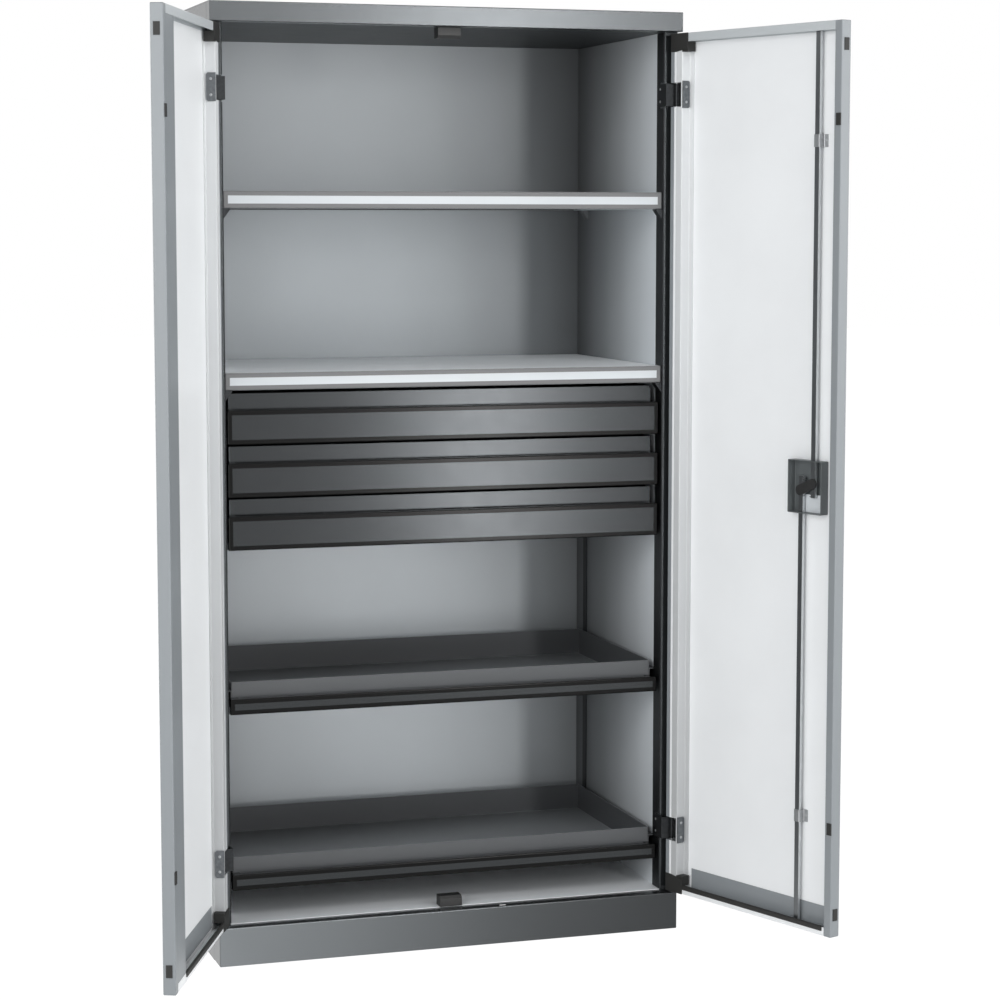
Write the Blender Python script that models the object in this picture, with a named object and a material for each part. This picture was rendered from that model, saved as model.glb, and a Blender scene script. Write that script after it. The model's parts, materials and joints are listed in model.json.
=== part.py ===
"""Double-door steel workshop cabinet with shelves, drawers and pull-out trays.

Metres, +Z up, the doors face -Y. The origin is on the floor, in the middle of the plinth's front rail,
and y = 0 is the front plane of the carcass. Door pieces are modelled where they stand with the doors
shut and hang from an empty on the hinge axis, which then turns them to the open rest pose.
"""
import math

import bmesh
import bpy
from mathutils import Matrix, Vector

# Overall size
WIDTH = 1.000
DEPTH = 0.580
HEIGHT = 1.950

# Sheet steel and clearances
SHEET = 0.0015
FIT = 0.0003
FOLD_R = 0.002
FOLD_STEPS = 3

# Carcass
PLINTH_H = 0.080
PLINTH_FLANGE = 0.030
FASCIA_H = 0.040
POST_W = 0.029
POST_D = 0.030
BACK_FLANGE = 0.022
PANEL_FLANGE = 0.014

# Doors
DOOR_T = 0.025
DOOR_SEAT = 0.004
DOOR_LIP = 0.018
DOOR_GAP = 0.004
DOOR_SIDE_INSET = 0.0015
STILE_W = 0.036
STILE_FLANGE = 0.012
EDGE_STILE_W = 0.087
LEFT_OPEN_DEG = 113.0
RIGHT_OPEN_DEG = 110.5

# Door trim in black rubber
TRIM_T = 0.002
TRIM_H = 0.010
PAD_T = 0.0022
CORNER_PAD_H = 0.038
CORNER_PAD_CHAMFER = 0.014
CORNER_PAD_INSET = 0.003
CORNER_BLOCK_W = 0.018
CORNER_BLOCK_H = 0.020

# Pin hinges, two on each door
HINGE_INSET = 0.0075
HINGE_FROM_BOTTOM = 0.136
HINGE_FROM_TOP = 0.126
PIN_R = 0.0020
PIN_CLEAR = 0.00009
PIN_HEAD_R = 0.0032
PIN_HEAD_T = 0.002
KNUCKLE_R = 0.0040
LEAF_T = 0.003
LEAF_H = 0.046
LEAF_REACH = 0.026
LUG_H = 0.008
LUG_GAP = 0.0005
BRACKET_T = 0.002
BRACKET_W = 0.014
NOTCH_CLEAR = 0.002
NOTCH_DEPTH = 0.0085
HINGE_PLATE_T = 0.0025
HINGE_PLATE_H = 0.056
HINGE_PLATE_EDGE = 0.003

# Shelves and the tongues that carry them
SHELF_H = 0.035
SHELF_LIP = 0.015
SHELF_DROP = 0.332
SHELF_PITCH = 0.365
SHELF_SIDE_CLEAR = 0.0005
SHELF_FRONT_Y = 0.006
SHELF_BACK_CLEAR = 0.007
TONGUE_T = 0.002
TONGUE_H = 0.022
TONGUE_REACH = 0.014
TONGUE_W = 0.022

# Drawers and pull-out trays
DRAWER_COUNT = 3
DRAWER_PITCH = 0.108
DRAWER_TOP_CLEAR = 0.008
DRAWER_FRONT_H = 0.069
DRAWER_H = 0.102
TRAY_COUNT = 2
TRAY_PITCH = 0.366
TRAY_FLOOR_GAP = 0.0662
TRAY_FRONT_H = 0.032
TRAY_H = 0.064
FRONT_Y0 = 0.008
FRONT_D = 0.0257
FRONT_SIDE_CLEAR = 0.006
GRIP_LIP = 0.012
GRIP_END = 0.020
BOX_BACK_CLEAR = 0.0537
BOX_RAISE = 0.006

# Runners: channels on the carcass and rails on the boxes
RUNNER_T = 0.0127
RUNNER_H = 0.035
RUNNER_SHEET = 0.0012
RUNNER_FLANGE = 0.010
RUNNER_START = 0.002
RUNNER_END_CLEAR = 0.050
RUNNER_RAISE = 0.024
STRIP_W = 0.024
STRIP_END = 0.004
STRIP_LAP = 0.004

# Door stops at the middle of the opening
STOP_W = 0.048
STOP_H = 0.022
STOP_D = 0.028
STOP_NOSE = 0.006

# Rod lock on the right door
LOCK_FROM_EDGE = 0.091
LOCK_DROP = 0.007
LOCK_CASE_W = 0.094
LOCK_CASE_H = 0.107
LOCK_CASE_D = 0.021
GEAR_MODULE = 0.0015
GEAR_TEETH = 12
GEAR_T = 0.008
TOOTH_SHARE = 0.40
SPINDLE = 0.008
ROD_W = 0.012
ROD_T = 0.006
ROD_DEPTH = 0.0125
ROD_END_CLEAR = 0.001
ROD_TIP = 0.003
RACK_TEETH = 9
ROD_HOLE_CLEAR = 0.0015
GUIDE_H = 0.025
GUIDE_FLANGE = 0.010
GUIDE_FROM_END = 0.230

# Turn handle on the outside of the right door
ROSE_R = 0.024
ROSE_T = 0.006
HUB_R = 0.0115
HUB_L = 0.032
LEVER_L = 0.115
LEVER_W = 0.018
LEVER_T = 0.010

# Places worked out from the sizes above
HALF_W = WIDTH / 2
FRONT_Y = -(DOOR_T + DOOR_SEAT)
BACK_Y = FRONT_Y + DEPTH
OPENING_X = HALF_W - POST_W
FLOOR_Z = PLINTH_H + FIT + SHEET
CEILING_Z = HEIGHT - FASCIA_H
WALL_IN_X = HALF_W - SHEET
BACK_PANEL_Y = BACK_Y - 2 * SHEET - FIT
DOOR_Z0 = PLINTH_H + DOOR_GAP
DOOR_Z1 = CEILING_Z - DOOR_GAP
FREE_X = DOOR_GAP / 2
HINGE_X = HALF_W - DOOR_SIDE_INSET
STILE_X = HINGE_X - STILE_W
LIP_Y = -DOOR_SEAT
SKIN_Y = FRONT_Y + SHEET + FIT
PIVOT_X = HALF_W - HINGE_INSET
PIVOT_Y = FRONT_Y + DOOR_T / 2
NOTCH_REACH = PIVOT_X - OPENING_X + LEAF_T + NOTCH_CLEAR
LOCK_X = FREE_X + LOCK_FROM_EDGE
ROD_Y = FRONT_Y + ROD_DEPTH
GEAR_R = GEAR_MODULE * GEAR_TEETH / 2
ROOT_DEPTH = 1.25 * GEAR_MODULE
ROD_OFFSET = GEAR_R + ROOT_DEPTH + ROD_W / 2
BOX_X = OPENING_X - RUNNER_T
BOX_Y0 = FRONT_Y0 + FRONT_D + FIT
BOX_D = BACK_PANEL_Y - BOX_BACK_CLEAR - BOX_Y0
RUNNER_Y0 = BOX_Y0 + RUNNER_START
RUNNER_Y1 = BACK_PANEL_Y - RUNNER_END_CLEAR
REAR_STRIP_Y = RUNNER_Y1 - STRIP_W / 2
HINGE_HEIGHTS = (DOOR_Z0 + HINGE_FROM_BOTTOM, DOOR_Z1 - HINGE_FROM_TOP)
LOCK_Z = (DOOR_Z0 + DOOR_Z1) / 2 - LOCK_DROP
SHELF_TOPS = (CEILING_Z - SHELF_DROP, CEILING_Z - SHELF_DROP - SHELF_PITCH)
TOP_DRAWER_Z = SHELF_TOPS[-1] - SHELF_H - DRAWER_TOP_CLEAR - DRAWER_H
DRAWER_BOTTOMS = [TOP_DRAWER_Z - DRAWER_PITCH * i for i in range(DRAWER_COUNT)]
TRAY_BOTTOMS = [FLOOR_Z + TRAY_FLOOR_GAP + TRAY_PITCH * i for i in reversed(range(TRAY_COUNT))]

ROUND = 24


def clear_scene():
    for piece in list(bpy.data.objects):
        bpy.data.objects.remove(piece, do_unlink=True)


def make_material(name, colour, roughness, metallic):
    material = bpy.data.materials.new(name)
    material.use_nodes = True
    shader = material.node_tree.nodes["Principled BSDF"]
    shader.inputs["Base Color"].default_value = (*colour, 1.0)
    shader.inputs["Roughness"].default_value = roughness
    shader.inputs["Metallic"].default_value = metallic
    return material


def make_materials():
    return {
        "carcass": make_material("carcass_grey", (0.24, 0.26, 0.27), 0.42, 0.35),
        "inside": make_material("inside_grey", (0.33, 0.37, 0.40), 0.45, 0.30),
        "door": make_material("door_light_grey", (0.74, 0.77, 0.79), 0.45, 0.0),
        "shelf": make_material("shelf_light_grey", (0.74, 0.78, 0.80), 0.45, 0.0),
        "drawer": make_material("drawer_anthracite", (0.06, 0.065, 0.07), 0.38, 0.40),
        "zinc": make_material("zinc_steel", (0.45, 0.46, 0.47), 0.32, 0.95),
        "hinge": make_material("hinge_dark_steel", (0.10, 0.11, 0.12), 0.40, 0.80),
        "rubber": make_material("black_rubber", (0.012, 0.012, 0.011), 0.70, 0.0),
        "plastic": make_material("black_plastic", (0.018, 0.018, 0.018), 0.45, 0.0),
    }


def add_piece(name, bm, material, carrier=None):
    """Make a named object from a bmesh, with its faces pointing out, and hang it on its carrier."""
    bmesh.ops.recalc_face_normals(bm, faces=bm.faces)
    mesh = bpy.data.meshes.new(name)
    bm.to_mesh(mesh)
    bm.free()
    mesh.materials.append(material)
    piece = bpy.data.objects.new(name, mesh)
    bpy.context.scene.collection.objects.link(piece)
    if carrier:
        hang(piece, carrier)
    return piece


def smooth(piece):
    piece.data.shade_smooth()
    piece.data.set_sharp_from_angle(angle=math.radians(35))
    return piece


def hang(piece, carrier):
    """Parent a piece that is modelled in place to an empty that hasn't turned yet."""
    piece.parent = carrier
    piece.matrix_parent_inverse = Matrix.Translation(carrier.location).inverted()


def add_pivot(name, at, carrier=None):
    empty = bpy.data.objects.new(name, None)
    empty.empty_display_size = 0.05
    empty.location = at
    bpy.context.scene.collection.objects.link(empty)
    if carrier:
        hang(empty, carrier)
    return empty


def add_box(bm, low, high):
    low = Vector(low)
    high = Vector(high)
    size = high - low
    place = Matrix.Translation((low + high) / 2) @ Matrix.Diagonal((*size, 1.0))
    return bmesh.ops.create_cube(bm, size=1.0, matrix=place)["verts"]


def add_prism(bm, outline, axis, start, end):
    """Extrude an outline: (x, y) along Z, (y, z) along X, or (x, z) along Y."""
    def point(a, b, along):
        return {"X": (along, a, b), "Y": (a, along, b), "Z": (a, b, along)}[axis]

    first = [bm.verts.new(point(a, b, start)) for a, b in outline]
    last = [bm.verts.new(point(a, b, end)) for a, b in outline]
    bm.faces.new(first)
    bm.faces.new(reversed(last))
    for i in range(len(outline)):
        j = (i + 1) % len(outline)
        bm.faces.new((first[j], first[i], last[i], last[j]))


def add_turned(bm, profile, axis, at):
    """Turn a (radius, along) profile about an axis through a point; the profile starts and ends at radius 0."""
    rings = []
    for radius, along in profile:
        ring = []
        for i in range(ROUND if radius else 1):
            angle = 2 * math.pi * i / ROUND
            u, v = radius * math.cos(angle), radius * math.sin(angle)
            offset = {"X": (along, u, v), "Y": (u, along, v), "Z": (u, v, along)}[axis]
            ring.append(bm.verts.new(Vector(at) + Vector(offset)))
        rings.append(ring)
    for lower, upper in zip(rings, rings[1:]):
        for i in range(ROUND):
            j = (i + 1) % ROUND
            corners = [lower[i % len(lower)], lower[j % len(lower)], upper[j % len(upper)], upper[i % len(upper)]]
            bm.faces.new(list(dict.fromkeys(corners)))


def round_corners(path, radius):
    """Replace each inner corner of a path by an arc."""
    smoothed = [path[0]]
    for before, corner, after in zip(path, path[1:], path[2:]):
        corner = Vector(corner)
        back = (Vector(before) - corner).normalized()
        ahead = (Vector(after) - corner).normalized()
        half = back.angle(ahead) / 2
        middle = corner + (back + ahead).normalized() * radius / math.sin(half)
        first = corner + back * radius / math.tan(half) - middle
        last = corner + ahead * radius / math.tan(half) - middle
        for step in range(FOLD_STEPS + 1):
            spoke = first.lerp(last, step / FOLD_STEPS).normalized() * radius
            smoothed.append(tuple(middle + spoke))
    return smoothed + [path[-1]]


def sheet_section(path, thickness, fold=1.3):
    """Outline of a folded sheet: its outer face follows the path, and it lies to the left of it.

    The outer radius of each fold is the given number of thicknesses, and 0 leaves it sharp.
    """
    if fold:
        path = round_corners(path, fold * thickness)
    normals = []
    for (x0, y0), (x1, y1) in zip(path, path[1:]):
        length = math.hypot(x1 - x0, y1 - y0)
        normals.append(Vector((-(y1 - y0) / length, (x1 - x0) / length)))
    inner = []
    for i, corner in enumerate(path):
        before = normals[max(i - 1, 0)]
        after = normals[min(i, len(normals) - 1)]
        inner.append(Vector(corner) + (before + after) * thickness / (1 + before.dot(after)))
    return [tuple(corner) for corner in path] + [tuple(corner) for corner in reversed(inner)]


def mirrored(outline, side):
    return [(side * a, b) for a, b in outline]


def span(side, low, high):
    """Low and high x of a stretch that is given for the right-hand side."""
    return (low, high) if side > 0 else (-high, -low)


def add_pan(name, low, high, opening, lip, material, carrier=None):
    """Folded sheet box that is open on one side, with lips turned in around the opening."""
    bm = bmesh.new()
    add_box(bm, low, high)
    bmesh.ops.recalc_face_normals(bm, faces=bm.faces)
    mouth = max(bm.faces, key=lambda face: face.normal.dot(Vector(opening)))
    if lip:
        bmesh.ops.inset_region(bm, faces=[mouth], thickness=lip, use_even_offset=True)
    bmesh.ops.delete(bm, geom=[mouth], context="FACES_ONLY")
    folds = [edge for edge in bm.edges if len(edge.link_faces) == 2 and edge.calc_face_angle() > 0.1]
    bmesh.ops.bevel(bm, geom=folds, offset=FOLD_R, segments=FOLD_STEPS, profile=0.5, affect="EDGES")
    pan = add_piece(name, bm, material, carrier)
    fold = pan.modifiers.new("sheet", "SOLIDIFY")
    fold.thickness = SHEET
    fold.offset = -1.0
    fold.use_even_offset = True
    fold.use_quality_normals = True
    return pan


def add_cutter(name, bm, carrier=None):
    bmesh.ops.recalc_face_normals(bm, faces=bm.faces)
    mesh = bpy.data.meshes.new(name)
    bm.to_mesh(mesh)
    bm.free()
    cutter = bpy.data.objects.new(name, mesh)
    cutter.hide_render = True
    cutter.display_type = "WIRE"
    bpy.context.scene.collection.objects.link(cutter)
    if carrier:
        hang(cutter, carrier)
    return cutter


def combine(piece, other, operation):
    step = piece.modifiers.new(operation.lower(), "BOOLEAN")
    step.operation = operation
    step.solver = "EXACT"
    step.object = other


def cut_boxes(piece, boxes, carrier=None):
    bm = bmesh.new()
    for low, high in boxes:
        add_box(bm, low, high)
    combine(piece, add_cutter(piece.name + "_cutter", bm, carrier), "DIFFERENCE")


def rod_x(side):
    """Middle of the upper rod (-1, next to the free edge) or the lower rod (+1)."""
    return LOCK_X + side * ROD_OFFSET


def rod_hole(side, low_z, high_z):
    half_w = ROD_W / 2 + ROD_HOLE_CLEAR
    half_t = ROD_T / 2 + ROD_HOLE_CLEAR
    return ((rod_x(side) - half_w, ROD_Y - half_t, low_z), (rod_x(side) + half_w, ROD_Y + half_t, high_z))


def build_side_panel(name, side, material):
    """Outer wall with a boxed front post and a flange for the back panel."""
    path = [(OPENING_X, POST_D), (OPENING_X, 0), (HALF_W, 0), (HALF_W, BACK_Y), (HALF_W - BACK_FLANGE, BACK_Y)]
    bm = bmesh.new()
    outline = mirrored(sheet_section(path, SHEET), side)
    add_prism(bm, outline, "Z", PLINTH_H + FIT, HEIGHT - SHEET - FIT)
    add_piece(name, bm, material)


def add_tongues(piece, side, face, middle):
    """Weld a wedge under each shelf to a sheet whose face is at the given x."""
    root = face + RUNNER_SHEET / 2
    tip = face - TONGUE_REACH
    bm = bmesh.new()
    for top in SHELF_TOPS:
        seat = top - SHELF_H - FIT
        outline = [(root, seat), (tip, seat), (tip, seat - TONGUE_T), (root, seat - TONGUE_H)]
        add_prism(bm, mirrored(outline, side), "Y", middle - TONGUE_W / 2, middle + TONGUE_W / 2)
    combine(piece, add_cutter(piece.name + "_tongues", bm), "UNION")


def build_plate(name, low_z, material):
    """Level plate between the side walls, notched round the front posts and the back panel's flanges."""
    narrow = OPENING_X - FIT
    wide = WALL_IN_X - FIT
    behind_post = POST_D + FIT
    flange_y = BACK_PANEL_Y - PANEL_FLANGE - FIT
    between = wide - SHEET - FOLD_R
    right = [(narrow, FIT), (narrow, behind_post), (wide, behind_post), (wide, flange_y), (between, flange_y),
             (between, BACK_PANEL_Y - FIT)]
    bm = bmesh.new()
    add_prism(bm, right + mirrored(reversed(right), -1), "Z", low_z, low_z + SHEET)
    add_piece(name, bm, material)


def build_plinth(mats):
    rail = add_pan("plinth_front_rail", (-HALF_W, FRONT_Y, 0), (HALF_W, -FRONT_Y, PLINTH_H), (0, 1, 0), 0,
                   mats["carcass"])
    cut_boxes(rail, [rod_hole(1, PLINTH_H - 2 * SHEET, PLINTH_H + SHEET)])
    inner_x = HALF_W - PLINTH_FLANGE
    inner_y = BACK_Y - PLINTH_FLANGE
    back_path = [(inner_y, 0), (BACK_Y, 0), (BACK_Y, PLINTH_H), (inner_y, PLINTH_H)]
    bm = bmesh.new()
    add_prism(bm, sheet_section(back_path, SHEET, fold=0), "X", -HALF_W, HALF_W)
    frame = add_piece("plinth_rails", bm, mats["carcass"])
    side_path = [(inner_x, 0), (HALF_W, 0), (HALF_W, PLINTH_H), (inner_x, PLINTH_H)]
    bm = bmesh.new()
    for side in (-1, 1):
        outline = mirrored(sheet_section(side_path, SHEET, fold=0), side)
        add_prism(bm, outline, "Y", FIT - FRONT_Y, BACK_Y - SHEET / 2)
    combine(frame, add_cutter("plinth_side_rails", bm), "UNION")


def build_top_panel(material):
    """Roof and fascia folded from one sheet, with a plate in each end of the fascia."""
    path = [(BACK_Y, HEIGHT), (FRONT_Y, HEIGHT), (FRONT_Y, CEILING_Z), (-FIT, CEILING_Z)]
    bm = bmesh.new()
    add_prism(bm, sheet_section(path, SHEET), "X", -HALF_W, HALF_W)
    top = add_piece("top_panel", bm, material)
    ends = bmesh.new()
    outline = round_corners([(-FIT, HEIGHT)] + path[1:], FOLD_R)
    for side in (-1, 1):
        add_prism(ends, outline, "X", *span(side, HALF_W - SHEET, HALF_W))
    combine(top, add_cutter("fascia_ends", ends), "UNION")
    cut_boxes(top, [rod_hole(-1, CEILING_Z - SHEET, CEILING_Z + 2 * SHEET)])


def build_back_panel(material):
    wide = WALL_IN_X - FIT
    flange_y = BACK_PANEL_Y - PANEL_FLANGE
    path = [(wide, flange_y), (wide, BACK_PANEL_Y + SHEET), (-wide, BACK_PANEL_Y + SHEET), (-wide, flange_y)]
    bm = bmesh.new()
    add_prism(bm, sheet_section(path, SHEET), "Z", PLINTH_H + FIT, HEIGHT - SHEET - FIT)
    add_piece("back_panel", bm, material)


def build_side_liner(name, side, material):
    """Inner wall, level with the post, with a return to the outer wall at both ends."""
    wall = WALL_IN_X - SHEET - FOLD_R
    y0, y1 = POST_D + FIT, BACK_PANEL_Y - FIT
    path = [(wall, y1), (OPENING_X, y1), (OPENING_X, y0), (wall, y0)]
    bm = bmesh.new()
    add_prism(bm, mirrored(sheet_section(path, SHEET), side), "Z", FLOOR_Z + FIT, CEILING_Z - FIT)
    add_tongues(add_piece(name, bm, material), side, OPENING_X, REAR_STRIP_Y)


def build_shelves(mats):
    half = OPENING_X - FIT - RUNNER_SHEET - SHELF_SIDE_CLEAR
    back = BACK_PANEL_Y - SHELF_BACK_CLEAR
    for name, top in zip(("upper_shelf", "lower_shelf"), SHELF_TOPS):
        add_pan(name, (-half, SHELF_FRONT_Y, top - SHELF_H), (half, back, top), (0, 0, -1), SHELF_LIP, mats["shelf"])


def build_door_stops(material):
    """Nosed blocks under the fascia and on the floor that both doors shut against."""
    front = LIP_Y + FIT
    for name, base, direction in (("top_door_stop", CEILING_Z - FIT, -1), ("bottom_door_stop", FLOOR_Z + FIT, 1)):
        tip = base + direction * STOP_H
        outline = [(front, base), (front, tip - direction * STOP_NOSE), (front + STOP_NOSE, tip),
                   (front + STOP_D, tip), (front + STOP_D, base)]
        bm = bmesh.new()
        add_prism(bm, outline, "X", -STOP_W / 2, STOP_W / 2)
        add_piece(name, bm, material)


def runner_z(bottom):
    return bottom + BOX_RAISE + RUNNER_RAISE


def build_runner_frame(name, side, material):
    """Channels of one side, welded to a strip on the post, which also carries the shelves, and to a rear strip."""
    half = RUNNER_H / 2
    web = OPENING_X - FIT
    mouth = web - RUNNER_FLANGE
    path = [(mouth, -half), (web, -half), (web, half), (mouth, half)]
    levels = [runner_z(bottom) for bottom in DRAWER_BOTTOMS + TRAY_BOTTOMS]
    bm = bmesh.new()
    for level in levels:
        outline = [(x, z + level) for x, z in mirrored(sheet_section(path, RUNNER_SHEET), side)]
        add_prism(bm, outline, "Y", RUNNER_Y0, RUNNER_Y1)
    frame = add_piece(name, bm, material)
    bm = bmesh.new()
    low_x, high_x = span(side, web - RUNNER_SHEET, web)
    low_z, high_z = min(levels) - half - STRIP_END, max(levels) + half + STRIP_END
    add_box(bm, (low_x, SHEET, FLOOR_Z + FIT), (high_x, RUNNER_Y0 + STRIP_LAP, CEILING_Z - FIT))
    add_box(bm, (low_x, RUNNER_Y1 - STRIP_W, low_z), (high_x, RUNNER_Y1 - FIT, high_z))
    combine(frame, add_cutter(name + "_strips", bm), "UNION")
    add_tongues(frame, side, web - RUNNER_SHEET, POST_D / 2)
    notch = LEAF_H / 2 + STRIP_END
    cut_boxes(frame, [((low_x - FIT, 0, middle - notch), (high_x + FIT, LEAF_REACH + NOTCH_CLEAR, middle + notch))
                      for middle in HINGE_HEIGHTS])


def build_pull_out(name, bottom, front_h, height, mats):
    """A drawer or tray: folded box with a rail on each side, and a front with a finger slot along its top."""
    slide = add_pivot(name + "_slide", (0, BOX_Y0, runner_z(bottom)))
    box = add_pan(name + "_box", (-BOX_X, BOX_Y0, bottom + BOX_RAISE), (BOX_X, BOX_Y0 + BOX_D, bottom + height),
                  (0, 0, 1), 0, mats["drawer"], slide)
    half = RUNNER_H / 2 - RUNNER_SHEET - FIT
    web = BOX_X - SHEET / 2
    mouth = OPENING_X - 2 * RUNNER_SHEET - 2 * FIT
    path = [(mouth, half), (web, half), (web, -half), (mouth, -half)]
    bm = bmesh.new()
    for side in (-1, 1):
        outline = [(x, z + runner_z(bottom)) for x, z in mirrored(sheet_section(path, RUNNER_SHEET), side)]
        add_prism(bm, outline, "Y", BOX_Y0 + FIT, BOX_Y0 + BOX_D - FIT)
    combine(box, add_cutter(name + "_rails", bm, slide), "UNION")
    half = OPENING_X - FRONT_SIDE_CLEAR
    top = bottom + front_h
    front = add_pan(name + "_front", (-half, FRONT_Y0, bottom), (half, FRONT_Y0 + FRONT_D, top),
                    (0, 1, 0), 0, mats["drawer"], slide)
    slot_x = half - GRIP_END
    cut_boxes(front, [((-slot_x, FRONT_Y0 + GRIP_LIP, top - 2 * SHEET),
                       (slot_x, FRONT_Y0 + 2 * FRONT_D, top + SHEET))], slide)


def hinge_notch(side, middle):
    low_x, high_x = span(side, PIVOT_X - NOTCH_REACH, HINGE_X + SHEET)
    half = LEAF_H / 2 + NOTCH_CLEAR
    return ((low_x, LIP_Y - NOTCH_DEPTH, middle - half), (high_x, LIP_Y + SHEET, middle + half))


def build_door_shell(label, side, pivot, mats):
    """Folded outer panel, the stile along the hinge edge and the notches for the hinge leaves."""
    low_x, high_x = span(side, FREE_X, HINGE_X)
    panel = add_pan(label + "_panel", (low_x, FRONT_Y, DOOR_Z0), (high_x, LIP_Y, DOOR_Z1), (0, 1, 0), DOOR_LIP,
                    mats["door"], pivot)
    notches = [hinge_notch(side, middle) for middle in HINGE_HEIGHTS]
    cut_boxes(panel, notches, pivot)
    path = [(HINGE_X - DOOR_LIP - FIT, LIP_Y), (STILE_X, LIP_Y), (STILE_X, SKIN_Y + SHEET),
            (STILE_X - STILE_FLANGE, SKIN_Y + SHEET)]
    bm = bmesh.new()
    outline = mirrored(sheet_section(path, SHEET), side)
    add_prism(bm, outline, "Z", DOOR_Z0 + DOOR_LIP + FIT, DOOR_Z1 - DOOR_LIP - FIT)
    stile = add_piece(label + "_hinge_stile", bm, mats["door"], pivot)
    cut_boxes(stile, notches, pivot)
    return panel


def build_edge_stile(label, side, pivot, mats):
    """Wide channel along the free edge of the door that has no lock."""
    wall = FREE_X + EDGE_STILE_W
    path = [(wall + STILE_FLANGE, SKIN_Y + SHEET), (wall, SKIN_Y + SHEET), (wall, LIP_Y),
            (FREE_X + DOOR_LIP + FIT, LIP_Y)]
    bm = bmesh.new()
    outline = mirrored(sheet_section(path, SHEET), side)
    add_prism(bm, outline, "Z", DOOR_Z0 + DOOR_LIP + FIT, DOOR_Z1 - DOOR_LIP - FIT)
    add_piece(label + "_edge_stile", bm, mats["door"], pivot)


def build_door_rubber(label, side, pivot, free_side_x, mats):
    """Edge trim on the bottom lip and a pad on each corner at the hinge edge."""
    inner = LIP_Y + FIT + TRIM_T
    outer = LIP_Y - SHEET - FIT - TRIM_T
    top = DOOR_Z0 + DOOR_LIP + FIT + TRIM_T
    path = [(inner, top - TRIM_H), (inner, top), (outer, top), (outer, top - TRIM_H)]
    bm = bmesh.new()
    start = max(free_side_x, STOP_W / 2 + SHEET) + FIT
    add_prism(bm, sheet_section(path, TRIM_T), "X", *span(side, start, STILE_X - CORNER_BLOCK_W - 2 * FIT))
    add_piece(label + "_bottom_seal", bm, mats["rubber"], pivot)

    low_x, high_x = STILE_X - CORNER_BLOCK_W, PIVOT_X + CORNER_PAD_INSET
    lip = DOOR_LIP + FIT
    for place, end, inward in (("bottom", DOOR_Z0, 1), ("top", DOOR_Z1, -1)):
        outline = [(high_x, end), (low_x, end), (low_x, end + inward * (lip + CORNER_PAD_CHAMFER)),
                   (high_x - CORNER_PAD_CHAMFER, end + inward * CORNER_PAD_H), (high_x, end + inward * CORNER_PAD_H)]
        bm = bmesh.new()
        add_prism(bm, mirrored(outline, side), "Y", LIP_Y + FIT, LIP_Y + FIT + PAD_T)
        pad = add_piece(f"{label}_{place}_corner_pad", bm, mats["rubber"], pivot)
        near, far = sorted((end + inward * lip, end + inward * (lip + CORNER_BLOCK_H)))
        x0, x1 = span(side, low_x, STILE_X - FIT)
        bm = bmesh.new()
        add_box(bm, (x0, SKIN_Y + SHEET + FOLD_R, near), (x1, LIP_Y + FIT + PAD_T / 2, far))
        combine(pad, add_cutter(f"{label}_{place}_corner_block", bm, pivot), "UNION")


def knuckle_outline(root):
    """Rounded lug about the pivot, from a root line at the given y up round the knuckle."""
    arc = [(KNUCKLE_R * math.cos(math.pi * i / 12), KNUCKLE_R * math.sin(math.pi * i / 12)) for i in range(13)]
    return [(-KNUCKLE_R, root), (KNUCKLE_R, root)] + arc


def shifted(outline, side, x, y):
    return [(side * (a + x), b + y) for a, b in outline]


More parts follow.
